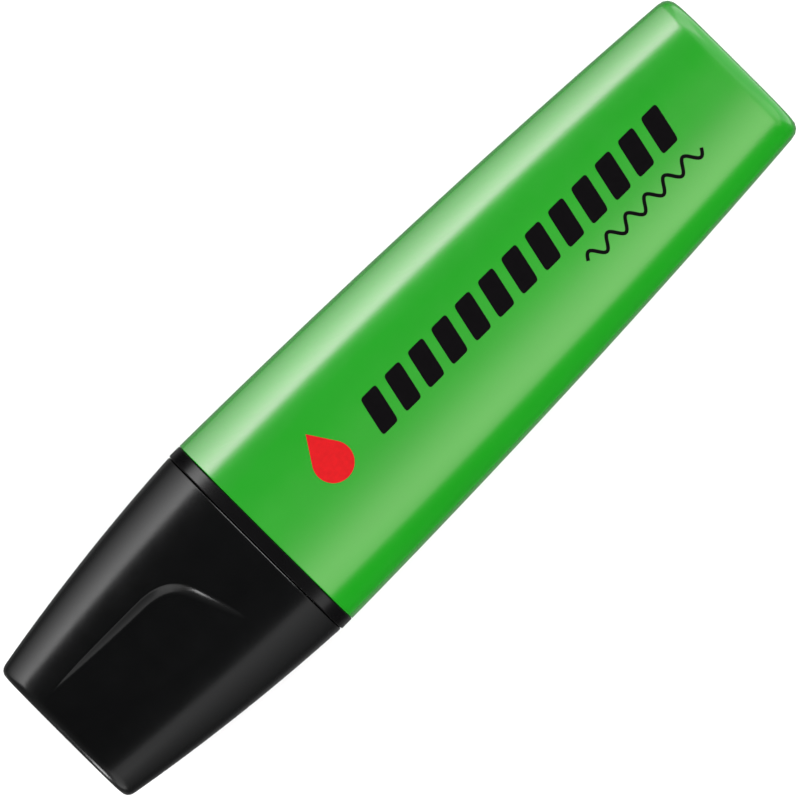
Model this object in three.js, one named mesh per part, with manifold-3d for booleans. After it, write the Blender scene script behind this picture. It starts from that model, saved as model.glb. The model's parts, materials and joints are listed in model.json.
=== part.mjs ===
// A flat highlighter with a pull-off cap, in millimetres.
//
// Every piece is drawn in the pen's own frame: x runs along the pen toward the cap, from the seam where the
// cap meets the collar, y runs across the broad faces and z through the thickness. The barrel grows thinner
// toward its end, so the last lines tilt the pen until the barrel's lower face lies level on z = 0.

import * as THREE from "three";
import { mergeVertices } from "three/addons/utils/BufferGeometryUtils.js";
import Module from "manifold-3d";

const wasm = await Module();
wasm.setup();

// Outer form. Both halves taper away from the collar, a share of each taper straight, the rest ever steeper.
const HALF_WIDTH = 13.5;
const HALF_THICKNESS = 8.5;
const BARREL_TAPER = { end: -75, width: 3.1, widthStraight: 0.2, thickness: 2.1, thicknessStraight: 1 };
const CAP_TAPER = { end: 30, width: 3.5, widthStraight: 0.47, thickness: 3.1, thicknessStraight: 0.47 };
const FORM_POWER = 3; // of the superellipse that is the cross-section: 2 is an ellipse, more is squarer
const SIDES = 48;
const RIM_STEPS = 3;

// Barrel.
const BARREL_FRONT = -1.75;
const BARREL_WALL = 1.3;
const BARREL_FLOOR = 1.6;
const BARREL_END_RADIUS = 1.7;
const RIB_FRONT = -14.5;
const RIB_THICKNESS = 1;
const RIB_OFFSET = 4;

// Front section: a spigot in the barrel, the collar, the seat that the cap snaps on, a shoulder and a nozzle.
const COLLAR_LENGTH = 1.5;
const SPIGOT_REAR = -13;
const SPIGOT_GAP = 0.25;
const SPIGOT_WALL = 1.2;
const BEAD_HALF_LENGTH = 0.6;
const BARREL_BEADS = [-9, -5];
const BARREL_BEAD_HEIGHT = 0.15;
const SEAT_FRONT = 7;
const SEAT_GAP = 0.3;
const NOZZLE_BASE = { x: 12.5, a: 4.6, b: 4.2, power: 2.3 };
const NOZZLE_TIP = { x: 20.5, a: 3.6, b: 3, power: 2.3 };
const NIB_TUBE = { rear: -2, front: 13, a: 3.7, b: 3 };
const WEB_THICKNESS = 1;

// Nib, a felt bar with a chisel tip and a narrow tail that reaches into the ink reservoir.
const NIB = { rear: -2, width: 5, thickness: 3.6, edgeRadius: 0.5 };
const NIB_TAIL = { rear: -9, width: 3, thickness: 2.2, edgeRadius: 0.4 };
const NIB_GAP = 0.2;
const CHISEL_FRONT = 24.9;
const CHISEL_LENGTH = 4.5;
const CHISEL_THICKNESS = 1.2;
const CHISEL_SLANT = -0.56;

// Ink reservoir: a bonded fibre core in a film wrap.
const CORE = { rear: -69.6, front: -2.3, a: 7.7, b: 4.1 };
const WRAP_GAP = 0.15;
const WRAP_THICKNESS = 0.25;
const CORE_CLEARANCE = 0.3;

// Cap.
const CAP_MOUTH = 0.25;
const CAP_INSET = 0.1;
const CAP_WALL = 1.5;
const CAP_END_WALL = 2;
const CAP_END_RADIUS = 1.3;
const SNAP_X = 3.2;
const SNAP_BEAD_HEIGHT = 0.2;
const SNAP_GROOVE_DEPTH = 0.15;

// Thumb recess in each broad face of the cap. Its edge runs straight from the cap's end, bends round an arch
// and slants across the face. Its floor is a plane through its deepest point and the two where it runs out.
const RECESS_EDGE_Y = -4.5;
const RECESS_ARCH = [
  [13.8, RECESS_EDGE_Y],
  [10, RECESS_EDGE_Y],
  [8.6, -2.8],
  [7.8, -0.1],
];
const RECESS_SLANT_END = [3.5, HALF_WIDTH];
const RECESS_DEPTH = 0.8;
const RECESS_DEEPEST = [9.2, -3.6];
const RECESS_RUN_OUT = [
  [27, -4.5],
  [6.3, 4.6],
];

// Inner seal: a cup that closes over the nozzle when the cap is on.
const SEAL_MOUTH = 12.6;
const SEAL_END = 27.7;
const SEAL_WALL = 0.7;
const SEAL_GAP = 0.3;
const SEAL_TIP = { a: 3.5, b: 2.8, power: 2.3 };
const HOLDER_REAR = 25.2;
const HOLDER_WALL = 0.8;

const OVERSHOOT = 1; // how far a cutting shape runs past the face that it opens

const X = new THREE.Vector3(1, 0, 0);
const Y = new THREE.Vector3(0, 1, 0);
const Z = new THREE.Vector3(0, 0, 1);

// A closed geometry as a solid that can be joined and cut.
function solid(geometry) {
  geometry.deleteAttribute("normal");
  geometry.deleteAttribute("uv");
  const merged = mergeVertices(geometry, 1e-4);
  return new wasm.Manifold(
    new wasm.Mesh({
      numProp: 3,
      vertProperties: merged.attributes.position.array,
      triVerts: new Uint32Array(merged.index.array),
    }),
  );
}

// The numbers from one end of a range to the other, both included, in equal steps.
function spaced(from, to, steps) {
  return Array.from({ length: steps + 1 }, (_, i) => from + ((to - from) * i) / steps);
}

// The pen's outer cross-section at x, drawn in by inset all round.
function form(x, inset = 0) {
  const taper = x > 0 ? CAP_TAPER : BARREL_TAPER;
  const u = x / taper.end;
  const lost = (drop, straight) => drop * (straight * u + (1 - straight) * u * u);
  return {
    x,
    a: HALF_WIDTH - lost(taper.width, taper.widthStraight) - inset,
    b: HALF_THICKNESS - lost(taper.thickness, taper.thicknessStraight) - inset,
  };
}

// Evenly spaced cross-sections of the outer form, drawn in by inset.
function stretch(from, to, steps, inset = 0) {
  return spaced(from, to, steps).map((x) => form(x, inset));
}

// The cross-sections of a rim of the given radius where the outer form ends.
function rim(end, radius, inset = 0) {
  return spaced(0, Math.PI / 2, RIM_STEPS).map((turn) => {
    const section = form(end - Math.sign(end) * radius * (1 - Math.sin(turn)), inset);
    return grown(section, -radius * (1 - Math.cos(turn)));
  });
}

// A cross-section that is larger all round by the given amount.
function grown(section, by) {
  return { ...section, a: section.a + by, b: section.b + by };
}

// The cross-section a share t of the way from one to another.
function between(one, other, t) {
  const mix = (p, q) => p + (q - p) * t;
  const power = mix(one.power ?? FORM_POWER, other.power ?? FORM_POWER);
  return { x: mix(one.x, other.x), a: mix(one.a, other.a), b: mix(one.b, other.b), power };
}

// The three cross-sections of a low bead, or of a groove where the height is negative.
function bead(x, halfLength, height, inset) {
  return [-1, 0, 1].map((side) => grown(form(x + side * halfLength, inset), side ? 0 : height));
}

// A closed solid through cross-sections along x, each a superellipse of half width a and half thickness b.
// Its sides are flat strips, and one of them lies square to each of the axes y and z.
function loft(sections) {
  const forward = sections[0].x < sections.at(-1).x ? sections : [...sections].reverse();
  const rings = [{ ...forward[0], a: 0, b: 0 }, ...forward, { ...forward.at(-1), a: 0, b: 0 }];
  const profile = rings.map((ring, i) => new THREE.Vector2(ring.a > 0 ? 1 : 0, i));
  const geometry = new THREE.LatheGeometry(profile, SIDES, Math.PI / SIDES);
  const position = geometry.attributes.position;
  for (let i = 0; i < position.count; i++) {
    const ring = rings[Math.round(position.getY(i))];
    const exponent = 2 / (ring.power ?? FORM_POWER);
    const reach = (share, half) => half * Math.sign(share) * Math.abs(share) ** exponent;
    position.setXYZ(i, ring.x, reach(position.getZ(i), ring.a), reach(position.getX(i), ring.b));
  }
  return solid(geometry);
}

// A box between two corners.
function box(low, high) {
  const size = high.map((value, i) => value - low[i]);
  const geometry = new THREE.BoxGeometry(...size);
  geometry.translate(...high.map((value, i) => (value + low[i]) / 2));
  return solid(geometry);
}

// A bar along x of rounded rectangular section, centred on the axis.
function bar(rear, front, width, thickness, radius) {
  const [w, t] = [width / 2, thickness / 2];
  const section = new THREE.Shape();
  section.absarc(w - radius, t - radius, radius, 0, Math.PI / 2);
  section.absarc(radius - w, t - radius, radius, Math.PI / 2, Math.PI);
  section.absarc(radius - w, radius - t, radius, Math.PI, 1.5 * Math.PI);
  section.absarc(w - radius, radius - t, radius, 1.5 * Math.PI, 2 * Math.PI);
  const options = { depth: front - rear, bevelEnabled: false, curveSegments: 3 };
  const geometry = new THREE.ExtrudeGeometry(section, options);
  geometry.applyMatrix4(new THREE.Matrix4().makeBasis(Y, Z, X));
  geometry.translate(rear, 0, 0);
  return solid(geometry);
}

// Plates that cross the whole pen between two places on the axis, one on edge at each y given and one flat.
function crossPlates(rear, front, thickness, offsets) {
  const reach = 2 * HALF_WIDTH;
  const half = thickness / 2;
  return offsets.reduce(
    (plates, y) => plates.add(box([rear, y - half, -reach], [front, y + half, reach])),
    box([rear, -reach, -half], [front, reach, half]),
  );
}

// The reservoir's shape with its ends where asked, grown by the given amount.
function coreShape(rear, front, by) {
  return loft([grown({ ...CORE, x: rear }, by), grown({ ...CORE, x: front }, by)]);
}

function barrel() {
  const hollowRear = BARREL_TAPER.end + BARREL_FLOOR;
  const bodyRear = BARREL_TAPER.end + BARREL_END_RADIUS;
  const outer = loft([
    ...stretch(BARREL_FRONT, bodyRear, 8).slice(0, -1),
    ...rim(BARREL_TAPER.end, BARREL_END_RADIUS),
  ]);
  const hollow = loft(stretch(BARREL_FRONT + OVERSHOOT, hollowRear, 8, BARREL_WALL));
  const heldBy = WRAP_GAP + WRAP_THICKNESS + CORE_CLEARANCE;
  const held = coreShape(CORE.rear - CORE_CLEARANCE, RIB_FRONT + OVERSHOOT, heldBy);
  const offsets = [-RIB_OFFSET, RIB_OFFSET];
  const ribs = crossPlates(hollowRear - OVERSHOOT, RIB_FRONT, RIB_THICKNESS, offsets).subtract(held);
  return outer.subtract(hollow.subtract(ribs));
}

function frontSection() {
  const spigotInset = BARREL_WALL + SPIGOT_GAP;
  const seatInset = CAP_INSET + CAP_WALL + SEAT_GAP;
  const seatEnd = form(SEAT_FRONT, seatInset);
  const outer = loft([
    form(SPIGOT_REAR, spigotInset),
    ...BARREL_BEADS.flatMap((x) => bead(x, BEAD_HALF_LENGTH, BARREL_BEAD_HEIGHT, spigotInset)),
    form(-COLLAR_LENGTH, spigotInset),
    form(-COLLAR_LENGTH),
    form(0),
    form(0, seatInset),
    ...bead(SNAP_X, BEAD_HALF_LENGTH, SNAP_BEAD_HEIGHT, seatInset),
    ...[0, 0.5, 1].map((t) => between(seatEnd, NOZZLE_BASE, t)),
    NOZZLE_TIP,
  ]);
  const hollowFront = { ...NOZZLE_BASE, x: NOZZLE_BASE.x - SPIGOT_WALL };
  const hollow = loft([
    ...stretch(SPIGOT_REAR - OVERSHOOT, -COLLAR_LENGTH, 2, spigotInset + SPIGOT_WALL),
    form(SEAT_FRONT - SPIGOT_WALL / 2, seatInset + SPIGOT_WALL),
    grown(hollowFront, -SPIGOT_WALL / 2),
  ]);
  const tube = loft([
    { ...NIB_TUBE, x: NIB_TUBE.rear },
    { ...NIB_TUBE, x: NIB_TUBE.front },
  ]);
  const webs = crossPlates(NIB_TUBE.rear, NIB_TUBE.front, WEB_THICKNESS, [0]);
  const [width, thickness] = [NIB.width, NIB.thickness].map((size) => size + 2 * NIB_GAP);
  const boreRear = NIB_TUBE.rear - OVERSHOOT;
  const bore = bar(boreRear, NOZZLE_TIP.x + OVERSHOOT, width, thickness, NIB.edgeRadius);
  return outer.subtract(hollow.subtract(tube).subtract(webs)).subtract(bore);
}

// Tapers a bar to a chisel: the outline of a wedge in x and z, run across the pen and slanted in plan.
function chisel() {
  const [full, tip] = [NIB.thickness, CHISEL_THICKNESS / 2];
  const slope = CHISEL_FRONT - (CHISEL_LENGTH * (full - tip)) / (NIB.thickness / 2 - tip);
  const rear = NIB_TAIL.rear;
  const outline = new THREE.Shape(
    [
      [rear, -full],
      [slope, -full],
      [CHISEL_FRONT, -tip],
      [CHISEL_FRONT, tip],
      [slope, full],
      [rear, full],
    ].map(([x, z]) => new THREE.Vector2(x, z)),
  );
  const across = 2 * NIB.width;
  const geometry = new THREE.ExtrudeGeometry(outline, { depth: across, bevelEnabled: false });
  geometry.translate(0, 0, -across / 2);
  geometry.applyMatrix4(new THREE.Matrix4().makeBasis(X, Z, Y.clone().negate()));
  geometry.applyMatrix4(new THREE.Matrix4().makeShear(0, 0, CHISEL_SLANT, 0, 0, 0));
  return solid(geometry);
}

function nib() {
  const body = bar(NIB.rear, CHISEL_FRONT + NIB.width, NIB.width, NIB.thickness, NIB.edgeRadius);
  const tailFront = NIB.rear + OVERSHOOT;
  const tail = bar(NIB_TAIL.rear, tailFront, NIB_TAIL.width, NIB_TAIL.thickness, NIB_TAIL.edgeRadius);
  return body.intersect(chisel()).add(tail);
}

function reservoirCore() {
  const [width, thickness] = [NIB_TAIL.width, NIB_TAIL.thickness].map((size) => size + 2 * CORE_CLEARANCE);
  const slotRear = NIB_TAIL.rear - CORE_CLEARANCE;
  const slot = bar(slotRear, CORE.front + OVERSHOOT, width, thickness, NIB_TAIL.edgeRadius);
  return coreShape(CORE.rear, CORE.front, 0).subtract(slot);
}

function reservoirWrap() {
  const outer = coreShape(CORE.rear, CORE.front, WRAP_GAP + WRAP_THICKNESS);
  return outer.subtract(coreShape(CORE.rear - OVERSHOOT, CORE.front + OVERSHOOT, WRAP_GAP));
}

// The seal's inside at a place on the axis: the nozzle with a gap round it, then a taper past the nib.
function sealInside(x) {
  const base = grown(NOZZLE_BASE, SEAL_GAP);
  const tip = grown(NOZZLE_TIP, SEAL_GAP);
  const floor = { ...SEAL_TIP, x: SEAL_END - SEAL_WALL };
  const [one, other] = x < tip.x ? [base, tip] : [tip, floor];
  return between(one, other, (x - one.x) / (other.x - one.x));
}

function sealShape(places, by) {
  return loft(places.map((x) => grown(sealInside(x), by)));
}

function capInnerSeal() {
  const outer = sealShape([SEAL_MOUTH, NOZZLE_TIP.x, SEAL_END], SEAL_WALL);
  const inner = sealShape([SEAL_MOUTH - OVERSHOOT, NOZZLE_TIP.x, SEAL_END - SEAL_WALL], 0);
  return outer.subtract(inner);
}

// The ring inside the cap that the seal is pressed into.
function sealHolder(front) {
  const places = [HOLDER_REAR, front];
  const outside = SEAL_WALL + SEAL_GAP;
  return sealShape(places, outside + HOLDER_WALL).subtract(
    sealShape([HOLDER_REAR - OVERSHOOT, front + OVERSHOOT], outside),
  );
}

// A point of the cap's upper face.
function onFace([x, y], sunk = 0) {
  const { a, b } = form(x, CAP_INSET);
  const z = b * (1 - Math.abs(y / a) ** FORM_POWER) ** (1 / FORM_POWER);
  return new THREE.Vector3(x, y, z - sunk);
}

// The shape that cuts the thumb recess: in the cap's upper face, or in the lower one after half a turn.
function thumbRecess(turn) {
  const far = CAP_TAPER.end + OVERSHOOT;
  const edge = new THREE.Shape();
  edge.moveTo(far, RECESS_EDGE_Y);
  edge.lineTo(...RECESS_ARCH[0]);
  edge.bezierCurveTo(...RECESS_ARCH.slice(1).flat());
  edge.lineTo(...RECESS_SLANT_END);
  edge.lineTo(far, HALF_WIDTH);
  edge.closePath();
  const height = 2 * HALF_THICKNESS;
  const prism = new THREE.ExtrudeGeometry(edge, { depth: height, bevelEnabled: false, curveSegments: 8 });

  const deepest = onFace(RECESS_DEEPEST, RECESS_DEPTH);
  const [end, side] = RECESS_RUN_OUT.map((point) => onFace(point));
  const floor = new THREE.Plane().setFromCoplanarPoints(deepest, end, side);
  if (floor.normal.z < 0) floor.negate();
  const under = new THREE.BoxGeometry(4 * CAP_TAPER.end, 4 * CAP_TAPER.end, height);
  under.translate(0, 0, -height / 2);
  under.applyQuaternion(new THREE.Quaternion().setFromUnitVectors(Z, floor.normal));
  under.translate(...deepest);

  prism.rotateX(turn);
  under.rotateX(turn);
  return solid(prism).subtract(solid(under));
}

function capShell() {
  const innerInset = CAP_INSET + CAP_WALL;
  const bodyFront = CAP_TAPER.end - CAP_END_RADIUS;
  const floor = CAP_TAPER.end - CAP_END_WALL;
  const outer = loft([
    ...stretch(CAP_MOUTH, bodyFront, 7, CAP_INSET).slice(0, -1),
    ...rim(CAP_TAPER.end, CAP_END_RADIUS, CAP_INSET),
  ]);
  const hollow = loft([
    form(CAP_MOUTH - OVERSHOOT, innerInset),
    ...bead(SNAP_X, BEAD_HALF_LENGTH, SNAP_GROOVE_DEPTH, innerInset),
    ...stretch(SEAT_FRONT, floor, 5, innerInset),
  ]);
  const empty = hollow.subtract(sealHolder(floor + OVERSHOOT));
  return outer.subtract(empty).subtract(thumbRecess(0)).subtract(thumbRecess(Math.PI));
}

// One named piece of the scene.
function piece(name, shape, color, roughness) {
  const { numProp, vertProperties, triVerts } = shape.getMesh();
  const geometry = new THREE.BufferGeometry();
  geometry.setAttribute("position", new THREE.BufferAttribute(vertProperties, numProp));
  geometry.setIndex(new THREE.BufferAttribute(triVerts, 1));
  geometry.computeVertexNormals();
  const mesh = new THREE.Mesh(geometry, new THREE.MeshStandardMaterial({ color, roughness, metalness: 0 }));
  mesh.name = name;
  return mesh;
}

const pen = new THREE.Group();
pen.add(
  piece("barrel", barrel(), 0x2aa826, 0.25),
  piece("front_section", frontSection(), 0x101111, 0.4),
  piece("nib", nib(), 0x6fd23a, 0.95),
  piece("reservoir_core", reservoirCore(), 0x7fc95a, 1),
  piece("reservoir_wrap", reservoirWrap(), 0xe6ebe2, 0.3),
  piece("cap_shell", capShell(), 0x101111, 0.4),
  piece("cap_inner_seal", capInnerSeal(), 0x1a1b1b, 0.5),
);

// The barrel's lower face is the flat strip under the axis. The tilt lays it level, and the shift stands the
// pen on z = 0 with the middle of its outline over the origin.
const stripShare = Math.cos(Math.PI / SIDES) ** (2 / FORM_POWER);
pen.rotation.y = -Math.atan((stripShare * BARREL_TAPER.thickness) / -BARREL_TAPER.end);
const outline = new THREE.Box3().setFromObject(pen, true);
pen.position.set(-(outline.min.x + outline.max.x) / 2, 0, -outline.min.z);

const highlighter = new THREE.Group();
highlighter.add(pen);

export default highlighter;
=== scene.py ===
"""A capped flat highlighter: its visible pieces, materials, studio and camera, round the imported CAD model.

Shapes are drawn in millimetres in the pen's own frame: x runs along the pen toward the cap, from the seam
between collar and cap, y runs across the broad faces and z through the thickness.
"""

import json
import math
from collections import namedtuple

import bmesh
import bpy
import numpy as np
from mathutils import Matrix, Vector


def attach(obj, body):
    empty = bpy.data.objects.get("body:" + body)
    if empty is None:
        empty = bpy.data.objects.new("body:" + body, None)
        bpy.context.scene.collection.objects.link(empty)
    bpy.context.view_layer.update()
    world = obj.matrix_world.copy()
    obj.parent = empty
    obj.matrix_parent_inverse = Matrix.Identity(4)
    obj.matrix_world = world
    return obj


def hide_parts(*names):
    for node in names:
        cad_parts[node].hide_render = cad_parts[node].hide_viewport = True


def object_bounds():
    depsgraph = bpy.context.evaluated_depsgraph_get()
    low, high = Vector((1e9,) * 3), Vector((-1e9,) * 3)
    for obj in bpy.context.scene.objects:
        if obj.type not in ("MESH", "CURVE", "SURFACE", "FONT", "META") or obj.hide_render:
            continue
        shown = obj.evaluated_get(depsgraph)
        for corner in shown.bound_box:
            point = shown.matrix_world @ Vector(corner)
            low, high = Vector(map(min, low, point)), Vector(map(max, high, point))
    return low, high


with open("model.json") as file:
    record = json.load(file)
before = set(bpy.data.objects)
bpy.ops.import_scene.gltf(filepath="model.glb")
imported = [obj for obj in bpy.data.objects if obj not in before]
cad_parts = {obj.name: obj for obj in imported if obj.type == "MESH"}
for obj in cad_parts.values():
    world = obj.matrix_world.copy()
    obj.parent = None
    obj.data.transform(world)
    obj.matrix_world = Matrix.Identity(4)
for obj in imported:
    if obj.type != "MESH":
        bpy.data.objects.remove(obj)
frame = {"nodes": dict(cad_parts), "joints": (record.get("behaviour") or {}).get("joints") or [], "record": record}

CAD_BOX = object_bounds()
MM = 0.001

# Outer form, the same as in the CAD model.
HALF_WIDTH = 13.5
HALF_THICKNESS = 8.5
SKIN_INSET = 0.03  # how far inside the CAD model's faces the outer form is drawn
BARREL_TAPER = dict(end=-75, width=3.1, width_straight=0.2, thickness=2.1, thickness_straight=1)
CAP_TAPER = dict(end=30, width=3.5, width_straight=0.47, thickness=3.1, thickness_straight=0.47)
FORM_POWER = 3  # of the superellipse that is the cross-section: 2 is an ellipse, more is squarer
OVAL_POWER = 2.3  # of the nozzle's, the tube's and the seal's cross-sections
SIDES = 176  # round a piece
ROUNDING_STEPS = 5
ROUNDING_SHARE = 0.45  # the most of the way to the next cross-section that a rounding takes up
ROUNDING_GUARD = 1.35  # how far past a rounding the flat beside it is pinned, over the rounding's reach
SHARP_ANGLE = math.radians(50)

# Barrel.
BARREL_FRONT = -1.62
BARREL_WALL = 1.3
BARREL_FLOOR = 1.6
END_CROWN = 0.12  # how far the rear end bulges
END_ROUNDING = 1.6
END_MARGIN = 2.5 * END_ROUNDING

# Front section: spigot, collar, cap seat, shoulder and nozzle.
COLLAR_REAR = -1.56
COLLAR_EDGE = 0.14
SPIGOT_REAR = -13
SPIGOT_INSET = BARREL_WALL + 0.25
SPIGOT_WALL = 1.2
SPIGOT_BEADS = (-9, -5)
SPIGOT_BEAD_HEIGHT = 0.15
BEAD_HALF_LENGTH = 0.6
SEAT_FRONT = 7
NOZZLE_BASE = (12.5, 4.6, 4.2, OVAL_POWER)
NOZZLE_TIP = (20.5, 3.6, 3.0, OVAL_POWER)
TUBE = dict(rear=-2, front=10.5, a=3.7, b=3.0)
BORE = dict(a=2.66, b=1.96, power=8)

# Nib.
NIB_REAR = -2
NIB_TAIL_REAR = -9
NIB_HALF = (2.46, 1.77)
NIB_TAIL_HALF = (1.46, 1.07)
NIB_POWER = 7
CHISEL_FRONT = 24.85
CHISEL_LENGTH = 4.5
CHISEL_HALF_THICKNESS = 0.58
CHISEL_SLANT = -0.56
SLANT_REAR = 12

# Cap.
CAP_MOUTH = 0.05
CAP_INSET = 0.08
CAP_WALL = 1.52
CAP_FLOOR = 28
CAP_END_ROUNDING = 1.0
CAP_END_MARGIN = 3 * CAP_END_ROUNDING
ARCH_ZONE = (15.2, 5.2)  # where the thumb recess's arch lies, with the closest cross-sections
SNAP_X = 3.2
SNAP_BEAD_HEIGHT = 0.2
SNAP_GROOVE_DEPTH = 0.15
SEAT_INSET = CAP_INSET + CAP_WALL + 0.3

# Thumb recess in each broad face of the cap: a straight edge from the cap's end, an arch, and a slant across
# the face. Its floor is a plane through its deepest point and the two where it runs out.
RECESS_EDGE_Y = -4.5
RECESS_ARCH = ((13.8, RECESS_EDGE_Y), (10.0, RECESS_EDGE_Y), (8.6, -2.8), (7.8, -0.1))
RECESS_SLANT_END = (3.5, HALF_WIDTH)
RECESS_DEPTH = 0.8
RECESS_DEEPEST = (9.2, -3.6)
RECESS_RUN_OUT = ((28.4, -4.5), (6.1, 5.3))
RECESS_WALL_SLOPE = 0.95
RECESS_RIM_BLEND = 0.06
RECESS_EDGE_BLEND = 0.16
RECESS_FLOOR_BLEND = 0.6
RECESS_BAND = (-0.5, 0.1)  # where the recess's edge runs, in half-widths of the pen
RECESS_DENSITY = 3.4  # how many times closer the mesh's points stand at a recess

# Inner seal and the ring that holds it in the cap.
SEAL_MOUTH = 12.6
SEAL_END = 27.7
SEAL_WALL = 0.7
SEAL_GAP = 0.3
SEAL_TIP = (27.0, 3.5, 2.8, OVAL_POWER)
HOLDER_REAR = 25.2
HOLDER_WALL = 0.8

# Print on the barrel's upper face: a drop, a row of leaning bars and a thin wave.
PRINT_LIFT = 0.004  # how far off the barrel the ink lies
PRINT_THICKNESS = 0.02
DROP_CENTRE = (-12.4, -0.2)
DROP_RADIUS = 2.35
DROP_TIP = 4.3
BARS = dict(front=-18.2, rear=-65.4, count=13, y=-0.66, half_height=2.3, half_width=1.2, lean=0.22)
WAVE = dict(front=-47.8, rear=-65.4, y=4.05, height=0.72, turns=6, half_width=0.2)

# Camera: square to the pen's upper face, as turned as the pen lies in the picture.
CAMERA_LENS = 600
CAMERA_SENSOR = 36
CAMERA_RIGHT = (-0.706, 0.708)
VIEW_WIDTH = 88.3
VIEW_CENTRE = (-22.38, 0.19)

# Studio.
FLOOR_HALF = 12.0  # metres, like the panels' distance and lengths
FLOOR_GAP = 0.02
AMBIENT_RADIANCE = 0.66
ENDS_GLOW = dict(start=0.35, full=0.95, radiance=0.3)
BELOW_GLOW = dict(start=-0.5, full=-0.95, radiance=0.2)
MIDDLE_X = -22.5
PANEL_DISTANCE = 0.6
PINK = (1, 0.66, 0.92)
AMBER = (1, 0.84, 0.75)

# Light panels. Each lies some way from the middle of the pen. Its azimuth runs from the cap's end toward the
# pen's right edge, and its two long edges are tilted from straight above the pen's upper face, in degrees.
# The radiance goes from the first edge's to the second's, faster at first where fade is over 1. A panel may
# light one subject alone, as if flagged off the rest, and serves either reflections or soft light.
PANELS = (
    dict(name="barrel_key", subject="barrel", azimuth=-90, tilts=(38, 136),
         radiance=(9.5, 0.4), fade=2, tint=PINK),
    dict(name="barrel_key_end", subject="barrel", azimuth=-138, tilts=(44, 120), length=0.45,
         radiance=(2.4, 0.4), fade=2, tint=PINK),
    dict(name="barrel_fill", subject="barrel", azimuth=90, tilts=(0, 53),
         radiance=(0.2, 1.9), fade=3, tint=AMBER),
    dict(name="barrel_fill_end", subject="barrel", azimuth=134, tilts=(10, 70), length=0.45,
         radiance=(0.3, 1.1), tint=AMBER),
    dict(name="barrel_end", subject="barrel", azimuth=180, tilts=(22, 130), length=0.8,
         radiance=(0.5, 1.1)),
    dict(name="cap_key", subject="cap", azimuth=-90, tilts=(39, 130), length=1,
         radiance=(8.2, 0.1), fade=2.5),
    dict(name="cap_fill", subject="cap", azimuth=90, tilts=(34, 130), length=1,
         radiance=(1.65, 0.05), fade=2.1),
    dict(name="arch_glint", subject="cap", azimuth=12, tilts=(78, 100), length=0.12,
         radiance=(12, 18)),
    dict(name="arch_soft", subject="cap", azimuth=44, tilts=(50, 104), length=0.32,
         radiance=(0.4, 1.8)),
    dict(name="mouth_glint", subject="cap", azimuth=180, tilts=(28, 50), length=0.3,
         radiance=(11, 11)),
    dict(name="collar_key", subject="collar", azimuth=-90, tilts=(38, 68),
         radiance=(7, 2)),
    dict(name="collar_fill", subject="collar", azimuth=90, tilts=(40, 60),
         radiance=(1.5, 1.2)),
    dict(name="overhead", serves="diffuse", azimuth=90, tilts=(-60, 60), length=2.4,
         radiance=(0.6, 0.6)),
    dict(name="floor_wash", serves="diffuse", subject="floor", azimuth=90, tilts=(-60, 60), length=2.4,
         radiance=(0.9, 0.9)),
)

Ring = namedtuple("Ring", "x a b power rounding")


# ---- The pen's frame --------------------------------------------------------------------------------------

def mount_position(name):
    mounts = frame["record"]["mounts"]
    return Vector(next(mount["pos_m"] for mount in mounts if mount["name"] == name))


ALONG = Vector(frame["joints"][0]["axis"]).normalized()
ACROSS = Vector((0, 1, 0))
THROUGH = ALONG.cross(ACROSS)
ORIGIN = mount_position("cap_end_face") - ALONG * CAP_TAPER["end"] * MM
PEN = Matrix((ALONG, ACROSS, THROUGH)).transposed().to_4x4()
PEN.translation = ORIGIN


def to_world(points):
    """Points of the pen's frame, in millimetres, as world points in metres."""
    return np.array(ORIGIN) + np.asarray(points) @ (np.array([ALONG, ACROSS, THROUGH]) * MM)


# ---- Cross-sections ---------------------------------------------------------------------------------------

def ring(x, a, b, power=FORM_POWER, rounding=0.0):
    return Ring(x, a, b, power, rounding)


def form(x, inset=0.0, rounding=0.0):
    """The pen's outer cross-section at x, drawn in by inset all round."""
    taper = CAP_TAPER if x > 0 else BARREL_TAPER
    u = x / taper["end"]

    def lost(side):
        straight = taper[side + "_straight"]
        return taper[side] * (straight * u + (1 - straight) * u * u)

    a = HALF_WIDTH - lost("width") - SKIN_INSET - inset
    b = HALF_THICKNESS - lost("thickness") - SKIN_INSET - inset
    return ring(x, a, b, rounding=rounding)


def grown(section, by):
    """The cross-section with its half-sizes larger by the given amount."""
    return section._replace(a=section.a + by, b=section.b + by)


def between(one, other, t):
    """The cross-section a share t of the way from one to another."""
    return Ring(*(p + (q - p) * t for p, q in zip(one, other)))


def stretch(start, stop, step, inset=0.0):
    """Evenly spaced cross-sections of the outer form."""
    count = max(2, round(abs(stop - start) / step) + 1)
    return [form(x, inset) for x in np.linspace(start, stop, count)]


def bead(x, height, inset):
    """A rounded bead round the pen, or a groove where the height is negative."""
    turns = np.linspace(-math.pi, math.pi, 9)
    return [form(x + BEAD_HALF_LENGTH * t / math.pi, inset - height * (1 + math.cos(t)) / 2) for t in turns]


def pole(x):
    """A cross-section with no size, which closes a piece."""
    return ring(x, 0, 0)


def domed(x, edge, steps=5):
    """A shallow dome from its middle at x out to the edge section, which it leaves off."""
    shares = np.arange(steps) / steps
    return [ring(x + (edge.x - x) * s * s, edge.a * s, edge.b * s) for s in shares]


def rounded(sections):
    """A run of sections with each corner that has a rounding replaced by a short curve."""
    places = [np.array(section[:4], float) for section in sections]
    run = []
    for i, (section, place) in enumerate(zip(sections, places)):
        if not section.rounding:
            run.append(section)
            continue
        sides = [places[i - 1] - place, places[(i + 1) % len(places)] - place]
        reaches = [min(section.rounding / np.linalg.norm(side[:2]), ROUNDING_SHARE) * side for side in sides]
        shares = np.linspace(0, 1, ROUNDING_STEPS)
        curve = [place + (1 - t) ** 2 * reaches[0] + t**2 * reaches[1] for t in shares]
        guards = [place + ROUNDING_GUARD * reach for reach in reaches]
        run.extend(Ring(*point, 0.0) for point in (guards[0], *curve, guards[1]))
    return run


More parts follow.
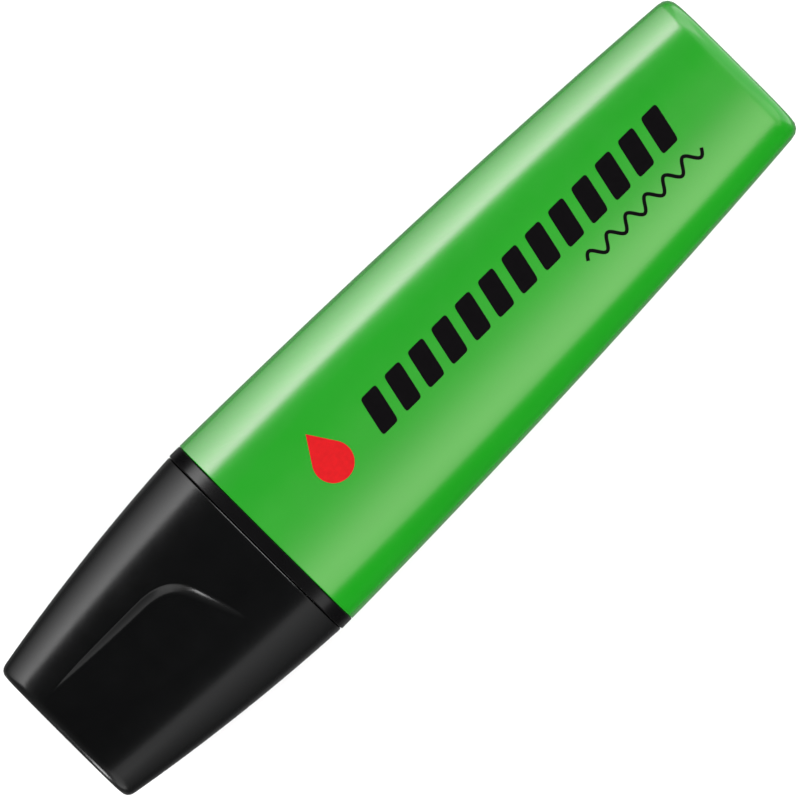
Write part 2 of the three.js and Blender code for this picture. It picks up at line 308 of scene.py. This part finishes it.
def angles_round(count, density=None):
    """Angles whose points lie evenly round the form's section, or closer together where density is high."""
    fine = np.linspace(0, 2 * math.pi, 40001)
    _, y, z = outline(form(0), fine).T
    steps = np.hypot(np.diff(y), np.diff(z))
    if density:
        steps = steps * density(y[1:], z[1:])
    travelled = np.concatenate([[0], np.cumsum(steps)])
    return np.interp(np.linspace(0, travelled[-1], count, endpoint=False), travelled, fine)


def outline(section, angles):
    """The points of a cross-section at the given angles."""

    def reach(share, half):
        return half * np.sign(share) * np.abs(share) ** (2 / section.power)

    y = reach(np.cos(angles), section.a)
    z = reach(np.sin(angles), section.b)
    return np.column_stack([np.full_like(y, section.x), y, z])


def surface(x, y, inset=0.0):
    """The height of the form's upper face over x and y."""
    section = [form(value, inset) for value in np.ravel(x)]
    a = np.reshape([s.a for s in section], np.shape(x))
    b = np.reshape([s.b for s in section], np.shape(x))
    return b * (1 - np.abs(y / a) ** FORM_POWER) ** (1 / FORM_POWER)


# ---- Meshes -----------------------------------------------------------------------------------------------

def grid_faces(rows, columns, rows_close, columns_close):
    """The four-cornered faces of a grid of points, which may close on itself either way."""
    down = range(rows if rows_close else rows - 1)
    along = range(columns if columns_close else columns - 1)
    for i in down:
        for j in along:
            k, m = (i + 1) % rows, (j + 1) % columns
            yield i * columns + j, i * columns + m, k * columns + m, k * columns + j


def mesh_piece(name, grids, material, body, thickness=0.0):
    """A smooth piece made of grids of points. Each is (points, rows close, columns close)."""
    bm = bmesh.new()
    for points, rows_close, columns_close in grids:
        rows, columns = points.shape[:2]
        verts = [bm.verts.new(p) for p in to_world(points.reshape(-1, 3))]
        for face in grid_faces(rows, columns, rows_close, columns_close):
            bm.faces.new([verts[i] for i in face])
    bmesh.ops.remove_doubles(bm, verts=bm.verts, dist=1e-3 * MM)
    bmesh.ops.recalc_face_normals(bm, faces=bm.faces)
    if thickness:
        bmesh.ops.solidify(bm, geom=bm.faces[:], thickness=-thickness * MM)
        bmesh.ops.recalc_face_normals(bm, faces=bm.faces)
    for face in bm.faces:
        face.smooth = True
    mesh = bpy.data.meshes.new(name)
    bm.to_mesh(mesh)
    bm.free()
    mesh.set_sharp_from_angle(angle=SHARP_ANGLE)
    mesh.materials.append(material)
    piece = bpy.data.objects.new(name, mesh)
    bpy.context.scene.collection.objects.link(piece)
    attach(piece, body)
    return piece


def lofted(sections, angles):
    """The grid of points of a run of cross-sections, its corners rounded."""
    return np.array([outline(section, angles) for section in rounded(sections)])


def stand_in(node):
    """The piece stands for a CAD node, which is hidden."""
    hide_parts(node)


# ---- Pieces -----------------------------------------------------------------------------------------------

def make_barrel(material):
    end = BARREL_TAPER["end"] + SKIN_INSET
    rim = end + END_CROWN
    outer = [
        *domed(end, form(rim, END_MARGIN)),
        form(rim, END_MARGIN),
        form(rim, 0.0, END_ROUNDING),
        *stretch(rim + END_MARGIN, BARREL_FRONT - 1, 1.2),
        form(BARREL_FRONT, 0.0, 0.12),
    ]
    inner = [
        form(BARREL_FRONT, BARREL_WALL, 0.1),
        *stretch(BARREL_FRONT - 1, end + BARREL_FLOOR + 1, 4, BARREL_WALL),
        form(end + BARREL_FLOOR, BARREL_WALL, 0.5),
        pole(end + BARREL_FLOOR),
    ]
    shell = lofted(outer + inner, angles_round(SIDES))
    piece = mesh_piece("barrel_moulding", [(shell, False, True)], material, "pen")
    stand_in("barrel")


def make_front_section(material):
    inside = SPIGOT_INSET + SPIGOT_WALL
    seat_end = form(SEAT_FRONT, SEAT_INSET, 0.7)
    nozzle_base = ring(*NOZZLE_BASE, 1.2)
    nozzle_tip = ring(*NOZZLE_TIP, 0.35)
    shoulder = [between(seat_end, nozzle_base, t)._replace(rounding=0) for t in (0.25, 0.5, 0.75)]
    tube = [ring(x, TUBE["a"], TUBE["b"], OVAL_POWER, 0.2) for x in (TUBE["front"], TUBE["rear"])]
    bore = [ring(x, BORE["a"], BORE["b"], BORE["power"], 0.15) for x in (TUBE["rear"], NOZZLE_TIP[0])]
    profile = [
        form(SPIGOT_REAR, inside, 0.2),
        form(SPIGOT_REAR, SPIGOT_INSET, 0.3),
        *[section for x in SPIGOT_BEADS for section in bead(x, SPIGOT_BEAD_HEIGHT, SPIGOT_INSET)],
        form(COLLAR_REAR, SPIGOT_INSET, 0.1),
        form(COLLAR_REAR, 0.0, COLLAR_EDGE),
        form(0, 0.0, COLLAR_EDGE),
        form(0, SEAT_INSET, 0.15),
        *bead(SNAP_X, SNAP_BEAD_HEIGHT, SEAT_INSET),
        seat_end,
        *shoulder,
        nozzle_base,
        *[between(nozzle_base, nozzle_tip, t)._replace(rounding=0) for t in (0.35, 0.65)],
        nozzle_tip,
        *reversed(bore),
        *reversed(tube),
        form(SEAT_FRONT - 0.6, SEAT_INSET + SPIGOT_WALL),
        form(0, inside),
    ]
    shell = lofted(profile, angles_round(SIDES))
    piece = mesh_piece("front_section_moulding", [(shell, True, True)], material, "pen")
    stand_in("front_section")


def make_nib(material):
    front_half = (NIB_HALF[0], CHISEL_HALF_THICKNESS)
    chisel_rear = CHISEL_FRONT - CHISEL_LENGTH
    body = [ring(x, *NIB_HALF, NIB_POWER) for x in np.linspace(NIB_REAR + 1, chisel_rear - 1, 12)]
    sections = [
        pole(NIB_TAIL_REAR),
        ring(NIB_TAIL_REAR, *NIB_TAIL_HALF, NIB_POWER, 0.2),
        ring(NIB_REAR, *NIB_TAIL_HALF, NIB_POWER, 0.1),
        ring(NIB_REAR, *NIB_HALF, NIB_POWER, 0.3),
        *body,
        ring(chisel_rear, *NIB_HALF, NIB_POWER, 0.6),
        *[between(ring(chisel_rear, *NIB_HALF), ring(CHISEL_FRONT, *front_half), t)._replace(power=NIB_POWER)
          for t in (0.3, 0.5, 0.7)],
        ring(CHISEL_FRONT, *front_half, NIB_POWER, 0.25),
        pole(CHISEL_FRONT),
    ]
    bar = lofted(sections, angles_round(SIDES // 2))
    share = np.clip((bar[..., 0] - SLANT_REAR) / (chisel_rear - SLANT_REAR), 0, 1)
    bar[..., 0] += CHISEL_SLANT * bar[..., 1] * share
    piece = mesh_piece("nib_felt_bar", [(bar, False, True)], material, "pen")
    stand_in("nib")


def recess_edge():
    """The recess's edge in plan, from beyond the cap's end round the arch to beyond its side."""
    p0, p1, p2, p3 = (np.array(point) for point in RECESS_ARCH)
    t = np.linspace(0, 1, 25)[:, None]
    arch = (1 - t) ** 3 * p0 + 3 * (1 - t) ** 2 * t * p1 + 3 * (1 - t) * t**2 * p2 + t**3 * p3
    beyond = p3 + 1.5 * (np.array(RECESS_SLANT_END) - p3)
    return np.vstack([[2 * CAP_TAPER["end"], RECESS_EDGE_Y], arch, beyond])


def distance_inside(x, y, edge):
    """How far each point lies on the right-hand side of an edge as it runs, negative on its left."""
    nearest = np.full(x.shape, np.inf)
    signed = np.zeros(x.shape)
    for start, end in zip(edge[:-1], edge[1:]):
        direction = (end - start) / np.linalg.norm(end - start)
        dx, dy = x - start[0], y - start[1]
        run = np.clip(dx * direction[0] + dy * direction[1], 0, np.linalg.norm(end - start))
        away = np.hypot(dx - run * direction[0], dy - run * direction[1])
        closer = away < nearest
        side = np.sign(dx * direction[1] - dy * direction[0])
        signed = np.where(closer, side * away, signed)
        nearest = np.where(closer, away, nearest)
    return signed


def soft_floor(value, blend):
    """The larger of the value and zero, with the bend between them rounded."""
    bent = (value + blend) ** 2 / (4 * blend)
    return np.where(value < -blend, 0, np.where(value > blend, value, bent))


def recess_floor():
    """The plane of the recess's floor as z = c0 + c1 x + c2 y."""
    places = np.array([RECESS_DEEPEST, *RECESS_RUN_OUT])
    heights = surface(places[:, 0], places[:, 1], CAP_INSET) - np.array([RECESS_DEPTH, 0, 0])
    return np.linalg.solve(np.column_stack([np.ones(3), places]), heights)


def with_recesses(points):
    """Sinks the thumb recess into the cap's upper face and, half a turn on, into its lower face."""
    edge = recess_edge()
    c0, c1, c2 = recess_floor()
    for turn in (1, -1):
        x, y, z = points[..., 0], turn * points[..., 1], turn * points[..., 2]
        over_floor = soft_floor(z - (c0 + c1 * x + c2 * y), RECESS_RIM_BLEND)
        down_wall = RECESS_WALL_SLOPE * soft_floor(distance_inside(x, y, edge), RECESS_EDGE_BLEND)
        share = np.clip(0.5 + 0.5 * (down_wall - over_floor) / RECESS_FLOOR_BLEND, 0, 1)
        depth = down_wall + (over_floor - down_wall) * share - RECESS_FLOOR_BLEND * share * (1 - share)
        points[..., 2] -= turn * np.where(z > 0, np.clip(depth, 0, None), 0)
    return points


def on_recessed_part(y, z):
    """How closely points stand round the cap's section: closer where the recesses' edges run."""
    place = y * np.sign(z) / HALF_WIDTH
    return np.where((place > RECESS_BAND[0]) & (place < RECESS_BAND[1]), RECESS_DENSITY, 1)


def make_cap(material):
    end = CAP_TAPER["end"] - SKIN_INSET
    outer = [
        *domed(end, form(end, CAP_END_MARGIN)),
        form(end, CAP_END_MARGIN),
        form(end, CAP_INSET, CAP_END_ROUNDING),
        *stretch(end - 2.3 * CAP_END_ROUNDING, ARCH_ZONE[0] + 0.1, 0.3, CAP_INSET),
        *stretch(*ARCH_ZONE, 0.1, CAP_INSET),
        *stretch(ARCH_ZONE[1] - 0.2, 1, 0.25, CAP_INSET),
        form(CAP_MOUTH, CAP_INSET, 0.3),
    ]
    inset = CAP_INSET + CAP_WALL
    wall_end = form(HOLDER_REAR, inset)
    holder = [grown(seal_inside(x), SEAL_WALL + SEAL_GAP) for x in (CAP_FLOOR, HOLDER_REAR)]
    holder_outside = [
        grown(section, HOLDER_WALL)._replace(b=min(section.b + HOLDER_WALL, form(section.x, inset).b - 0.05))
        for section in holder
    ]
    inner = [
        form(CAP_MOUTH, inset, 0.25),
        *bead(SNAP_X, -SNAP_GROOVE_DEPTH, inset),
        *stretch(SEAT_FRONT, wall_end.x, 2, inset),
        form(CAP_FLOOR, inset, 0.3),
        *holder_outside,
        *reversed(holder),
        pole(CAP_FLOOR),
    ]
    shell = with_recesses(lofted(outer + inner, angles_round(2 * SIDES, on_recessed_part)))
    piece = mesh_piece("cap_moulding", [(shell, False, True)], material, "cap")
    stand_in("cap_shell")


def seal_inside(x):
    """The seal's inside at x: the nozzle with a gap round it, then a taper past the nib."""
    base, tip = (grown(ring(*section), SEAL_GAP) for section in (NOZZLE_BASE, NOZZLE_TIP))
    one, other = (base, tip) if x < tip.x else (tip, ring(*SEAL_TIP))
    return between(one, other, (x - one.x) / (other.x - one.x))


def make_seal(material):
    places = np.linspace(SEAL_MOUTH, NOZZLE_TIP[0], 6)
    outside = [grown(seal_inside(x), SEAL_WALL) for x in places]
    outer_end = grown(seal_inside(SEAL_END), SEAL_WALL)
    inner_end = seal_inside(SEAL_END - SEAL_WALL)
    sections = [
        pole(SEAL_END),
        outer_end._replace(rounding=0.5),
        *reversed(outside[1:]),
        outside[0]._replace(rounding=0.2),
        seal_inside(SEAL_MOUTH)._replace(rounding=0.2),
        *[seal_inside(x) for x in places[1:]],
        inner_end._replace(rounding=0.4),
        pole(SEAL_END - SEAL_WALL),
    ]
    cup = lofted(sections, angles_round(SIDES // 2))
    piece = mesh_piece("seal_cup", [(cup, False, True)], material, "cap")
    stand_in("cap_inner_seal")


# ---- Print ------------------------------------------------------------------------------------------------

def blot(centre, shape):
    """A filled patch in plan, as rings of points from its centre out to its outline."""
    shares = np.linspace(0, 1, 7)[:, None, None]
    return np.array(centre) + shares * shape


def drop_outline():
    """A drop with its tip toward the pen's left edge, about its own centre."""
    touch = math.acos(DROP_RADIUS / DROP_TIP)
    turns = np.linspace(touch, 2 * math.pi - touch, 60)
    body = DROP_RADIUS * np.column_stack([np.sin(turns), -np.cos(turns)])
    tip = np.array([0, -DROP_TIP])
    sides = [one + (other - one) * t for one, other in ((body[-1], tip), (tip, body[0]))
             for t in np.linspace(0, 1, 12, endpoint=False)]
    return np.vstack([body[:-1], sides])


def bar_outline():
    """A leaning bar with slightly rounded corners, about its own centre."""
    turns = np.linspace(0, 2 * math.pi, 72, endpoint=False)
    bar = outline(ring(0, BARS["half_width"], BARS["half_height"], 9), turns)[:, 1:]
    bar[:, 0] += BARS["lean"] * bar[:, 1]
    return bar


def wave_band():
    """A thin band that waves along the pen, as rows of points from one side of it to the other."""
    t = np.linspace(0, 1, 241)
    x = WAVE["front"] + (WAVE["rear"] - WAVE["front"]) * t
    phase = 2 * math.pi * WAVE["turns"] * t
    y = WAVE["y"] - WAVE["height"] * np.sin(phase)
    line = np.column_stack([x, y])
    heading = np.gradient(line, axis=0)
    side = np.column_stack([-heading[:, 1], heading[:, 0]]) / np.linalg.norm(heading, axis=1)[:, None]
    return np.array([line + side * WAVE["half_width"] * s for s in (-1, 0, 1)])


def printed(name, patches, material, closed):
    """Thin patches of ink, given in plan, that lie on the barrel's upper face."""
    grids = []
    for patch in patches:
        height = surface(patch[..., 0], patch[..., 1]) + PRINT_LIFT
        grids.append((np.dstack([patch, height]), False, closed))
    mesh_piece(name, grids, material, "pen", PRINT_THICKNESS)


def make_print(black, red):
    printed("print_drop", [blot(DROP_CENTRE, drop_outline())], red, closed=True)
    pitch = (BARS["rear"] - BARS["front"]) / BARS["count"]
    centres = [(BARS["front"] + pitch * (i + 0.5), BARS["y"]) for i in range(BARS["count"])]
    printed("print_bars", [blot(centre, bar_outline()) for centre in centres], black, closed=True)
    printed("print_wave", [wave_band()], black, closed=False)


# ---- Materials --------------------------------------------------------------------------------------------

class Shader:
    """A material under construction: its nodes, and its Principled shader."""

    def __init__(self, name):
        self.material = bpy.data.materials.new(name)
        self.material.use_nodes = True
        self.nodes = self.material.node_tree.nodes
        self.links = self.material.node_tree.links
        self.principled = self.nodes["Principled BSDF"]
        self.coordinates = self.nodes.new("ShaderNodeTexCoord")

    def set(self, **values):
        for socket, value in values.items():
            self.principled.inputs[socket.replace("_", " ")].default_value = value

    def noise(self, size, detail=2.0, stretch=(1, 1, 1)):
        """Noise with features of the given size in millimetres, stretched along each axis."""
        mapping = self.nodes.new("ShaderNodeMapping")
        mapping.inputs["Scale"].default_value = [1 / (size * MM * s) for s in stretch]
        noise = self.nodes.new("ShaderNodeTexNoise")
        noise.inputs["Scale"].default_value = 1
        noise.inputs["Detail"].default_value = detail
        self.links.new(self.coordinates.outputs["Object"], mapping.inputs["Vector"])
        self.links.new(mapping.outputs["Vector"], noise.inputs["Vector"])
        return noise.outputs["Fac"]

    def ranged(self, factor, low, high):
        """The factor spread over a range of values, from its lower third to its upper."""
        spread = self.nodes.new("ShaderNodeMapRange")
        spread.inputs["From Min"].default_value = 0.3
        spread.inputs["From Max"].default_value = 0.7
        spread.inputs["To Min"].default_value = low
        spread.inputs["To Max"].default_value = high
        self.links.new(factor, spread.inputs["Value"])
        return spread.outputs["Result"]

    def colours(self, factor, dark, light):
        """Base colour between two colours, by the factor."""
        mix = self.nodes.new("ShaderNodeMix")
        mix.data_type = "RGBA"
        mix.inputs["A"].default_value = (*dark, 1)
        mix.inputs["B"].default_value = (*light, 1)
        self.links.new(self.ranged(factor, 0, 1), mix.inputs["Factor"])
        self.links.new(mix.outputs["Result"], self.principled.inputs["Base Color"])

    def roughness(self, factor, low, high):
        self.links.new(self.ranged(factor, low, high), self.principled.inputs["Roughness"])

    def bump(self, factor, height, below=None):
        """Relief of the given height in millimetres, on top of another relief if there is one."""
        bump = self.nodes.new("ShaderNodeBump")
        bump.inputs["Distance"].default_value = height * MM
        self.links.new(factor, bump.inputs["Height"])
        if below:
            self.links.new(below, bump.inputs["Normal"])
        self.links.new(bump.outputs["Normal"], self.principled.inputs["Normal"])
        return bump.outputs["Normal"]


def tinted(colour, by):
    return tuple(channel * by for channel in colour)


def moulded_plastic(name, colour, roughness, clouding, grain, relief, **finish):
    """Moulded plastic: faint flow clouding along the pen, uneven gloss and a fine grain."""
    shader = Shader(name)
    flow = shader.noise(9, detail=3, stretch=(4, 1, 1))
    shader.colours(flow, tinted(colour, 1 - clouding), tinted(colour, 1 + clouding))
    shader.roughness(shader.noise(2.5, detail=4), roughness * 0.92, roughness * 1.08)
    swell = shader.bump(shader.noise(12, detail=1, stretch=(2, 1, 1)), 0.004)
    shader.bump(shader.noise(grain, detail=2), relief, below=swell)
    shader.set(**finish)
    return shader.material


def barrel_plastic():
    return moulded_plastic(
        "green plastic", (0.004, 0.37, 0.005), 0.24, 0.05, grain=0.35, relief=0.0006,
        IOR=1.5, Coat_Weight=1.0, Coat_Roughness=0.22, Coat_IOR=1.5,
    )


def cap_plastic():
    return moulded_plastic(
        "cap plastic", (0.0036, 0.0038, 0.004), 0.22, 0.2, grain=0.22, relief=0.0012, IOR=1.38
    )


def collar_plastic():
    return moulded_plastic(
        "black plastic", (0.0042, 0.004, 0.0044), 0.27, 0.15, grain=0.25, relief=0.001, IOR=1.45
    )


def seal_plastic():
    return moulded_plastic("seal plastic", (0.012, 0.012, 0.013), 0.42, 0.2, grain=0.3, relief=0.002, IOR=1.5)


def nib_felt():
    """Bonded felt soaked in ink: fibres along the nib, painted darker as shade where they lie deeper."""
    shader = Shader("nib felt")
    fibres = shader.noise(0.16, detail=4, stretch=(9, 1, 1))
    # The same noise sets the colour and the bump: painted shade where the fibres lie deeper.
    shader.colours(fibres, (0.1, 0.46, 0.02), (0.2, 0.8, 0.06))
    shader.roughness(shader.noise(0.5, detail=2), 0.72, 0.92)
    shader.bump(fibres, 0.06)
    shader.set(Sheen_Weight=0.25, Sheen_Roughness=0.5)
    return shader.material


def core_fibre():
    """The reservoir's bonded fibres, soaked with ink."""
    shader = Shader("reservoir fibre")
    fibres = shader.noise(0.3, detail=4, stretch=(14, 1, 1))
    shader.colours(fibres, (0.12, 0.4, 0.05), (0.3, 0.7, 0.16))
    shader.roughness(shader.noise(1, detail=2), 0.75, 0.95)
    shader.bump(fibres, 0.08)
    return shader.material


def wrap_film():
    """A thin clear film with fine draw lines."""
    shader = Shader("wrap film")
    lines = shader.noise(0.6, detail=2, stretch=(20, 1, 1))
    shader.colours(lines, (0.72, 0.78, 0.7), (0.86, 0.9, 0.84))
    shader.roughness(lines, 0.12, 0.22)
    shader.bump(lines, 0.01)
    shader.set(Transmission_Weight=0.6, IOR=1.49)
    return shader.material


def ink(name, colour, roughness):
    """Pad-printed ink: slightly uneven in cover and gloss."""
    shader = Shader(name)
    cover = shader.noise(0.5, detail=3)
    shader.colours(cover, tinted(colour, 0.94), tinted(colour, 1.06))
    shader.roughness(cover, roughness * 0.9, roughness * 1.1)
    shader.bump(cover, 0.0005)
    shader.set(IOR=1.3)
    return shader.material


def studio_floor():
    shader = Shader("studio floor")
    shader.colours(shader.noise(120, detail=3), (0.87, 0.87, 0.87), (0.9, 0.9, 0.9))
    shader.roughness(shader.noise(40, detail=3), 0.75, 0.9)
    return shader.material


# ---- Studio -----------------------------------------------------------------------------------------------

SUBJECTS = {name: bpy.data.collections.new(name) for name in ("barrel", "cap", "collar", "floor")}


def graded(light, radiance, fade):
    """Makes the radiance go from the first edge's to the second's across the light's width."""
    light.use_nodes = True
    nodes = light.node_tree.nodes
    links = light.node_tree.links
    place = nodes.new("ShaderNodeNewGeometry")
    split = nodes.new("ShaderNodeSeparateXYZ")
    share = nodes.new("ShaderNodeMath")
    share.operation = "POWER"
    share.inputs[1].default_value = fade
    spread = nodes.new("ShaderNodeMapRange")
    spread.inputs["To Min"].default_value = radiance[1]
    spread.inputs["To Max"].default_value = radiance[0]
    links.new(place.outputs["Parametric"], split.inputs["Vector"])
    links.new(split.outputs["Y"], share.inputs[0])
    links.new(share.outputs["Value"], spread.inputs["Value"])
    links.new(spread.outputs["Result"], nodes["Emission"].inputs["Strength"])


def make_panel(name, azimuth, tilts, radiance, fade=1, length=0.36, tint=(1, 1, 1),
               serves="glossy", subject=None):
    """An area light that faces the middle of the pen, unseen by the camera."""
    turn = math.radians(azimuth)
    away = Vector((math.cos(turn), math.sin(turn), 0))
    along = Vector((-away.y, away.x, 0))
    above = Vector((0, 0, 1))
    first, second = (away * math.sin(t) + above * math.cos(t) for t in map(math.radians, tilts))
    middle = PANEL_DISTANCE * (first + second) / 2
    across = (first - second).normalized()
    width = PANEL_DISTANCE * (first - second).length
    light = bpy.data.lights.new(name, "AREA")
    light.shape = "RECTANGLE"
    light.size = length
    light.size_y = width
    light.energy = math.pi * length * width
    light.color = tint
    graded(light, radiance, fade)
    lamp = bpy.data.objects.new(name, light)
    lamp.visible_camera = False
    lamp.visible_diffuse = serves == "diffuse"
    lamp.visible_glossy = serves == "glossy"
    place = Matrix((along, across, along.cross(across))).transposed().to_4x4()
    place.translation = Vector((MIDDLE_X * MM, 0, 0)) + middle
    lamp.matrix_world = PEN @ place
    bpy.context.scene.collection.objects.link(lamp)
    if subject:
        lamp.light_linking.receiver_collection = SUBJECTS[subject]
    if subject == "floor":
        lamp.light_linking.blocker_collection = SUBJECTS[subject]


def make_world():
    """Even pale light from all round. The gloss mirrors a glow past the pen's ends and below it instead."""
    world = bpy.data.worlds.new("studio")
    world.use_nodes = True
    world.cycles.sampling_method = "NONE"
    nodes = world.node_tree.nodes
    links = world.node_tree.links

    def glow(value, start, full, radiance):
        """The radiance where a value is past full, and none where it is before start."""
        spread = nodes.new("ShaderNodeMapRange")
        spread.inputs["From Min"].default_value = start
        spread.inputs["From Max"].default_value = full
        spread.inputs["To Max"].default_value = radiance
        links.new(value, spread.inputs["Value"])
        return spread.outputs["Result"]

    direction = nodes.new("ShaderNodeTexCoord")
    split = nodes.new("ShaderNodeSeparateXYZ")
    along = nodes.new("ShaderNodeMath")
    along.operation = "ABSOLUTE"
    mirrored = nodes.new("ShaderNodeMath")
    ray = nodes.new("ShaderNodeLightPath")
    mix = nodes.new("ShaderNodeMix")
    mix.inputs["A"].default_value = AMBIENT_RADIANCE
    links.new(direction.outputs["Generated"], split.inputs["Vector"])
    links.new(split.outputs["X"], along.inputs[0])
    links.new(glow(along.outputs["Value"], **ENDS_GLOW), mirrored.inputs[0])
    links.new(glow(split.outputs["Z"], **BELOW_GLOW), mirrored.inputs[1])
    links.new(ray.outputs["Is Glossy Ray"], mix.inputs["Factor"])
    links.new(mirrored.outputs["Value"], mix.inputs["B"])
    links.new(mix.outputs["Result"], nodes["Background"].inputs["Strength"])
    nodes["Background"].inputs["Color"].default_value = (1, 1, 1, 1)
    bpy.context.scene.world = world


def make_floor():
    bm = bmesh.new()
    bmesh.ops.create_grid(bm, x_segments=8, y_segments=8, size=FLOOR_HALF)
    mesh = bpy.data.meshes.new("floor")
    bm.to_mesh(mesh)
    bm.free()
    mesh.materials.append(studio_floor())
    floor = bpy.data.objects.new("floor", mesh)
    floor.location.z = CAD_BOX[0].z - FLOOR_GAP * MM
    bpy.context.scene.collection.objects.link(floor)
    floor.visible_glossy = False
    SUBJECTS["floor"].objects.link(floor)


def make_camera():
    right = PEN.to_3x3() @ Vector((*CAMERA_RIGHT, 0)).normalized()
    up = THROUGH.cross(right)
    data = bpy.data.cameras.new("camera")
    data.lens = CAMERA_LENS
    data.sensor_width = CAMERA_SENSOR
    distance = VIEW_WIDTH * CAMERA_LENS / CAMERA_SENSOR
    camera = bpy.data.objects.new("camera", data)
    place = Matrix((right, up, THROUGH)).transposed().to_4x4()
    place.translation = PEN @ (Vector((*VIEW_CENTRE, distance)) * MM)
    camera.matrix_world = place
    bpy.context.scene.collection.objects.link(camera)
    bpy.context.scene.camera = camera


def light_with(subject, *pieces):
    """The pieces that the subject's own light panels light."""
    for name in pieces:
        SUBJECTS[subject].objects.link(bpy.data.objects[name])


def repaint(node, material):
    """Gives a CAD node that stays in view a better material."""
    for slot in frame["nodes"][node].material_slots:
        slot.material = material


def main():
    make_barrel(barrel_plastic())
    make_front_section(collar_plastic())
    make_nib(nib_felt())
    make_cap(cap_plastic())
    make_seal(seal_plastic())
    make_print(ink("black ink", (0.005, 0.004, 0.005), 0.4), ink("red ink", (0.7, 0.004, 0.008), 0.4))
    repaint("reservoir_core", core_fibre())
    repaint("reservoir_wrap", wrap_film())
    light_with("barrel", "barrel_moulding")
    light_with("cap", "cap_moulding", "nib_felt_bar", "seal_cup")
    light_with("collar", "front_section_moulding")
    make_world()
    make_floor()
    for panel in PANELS:
        make_panel(**panel)
    make_camera()
    bpy.context.scene.view_settings.view_transform = "Standard"


main()
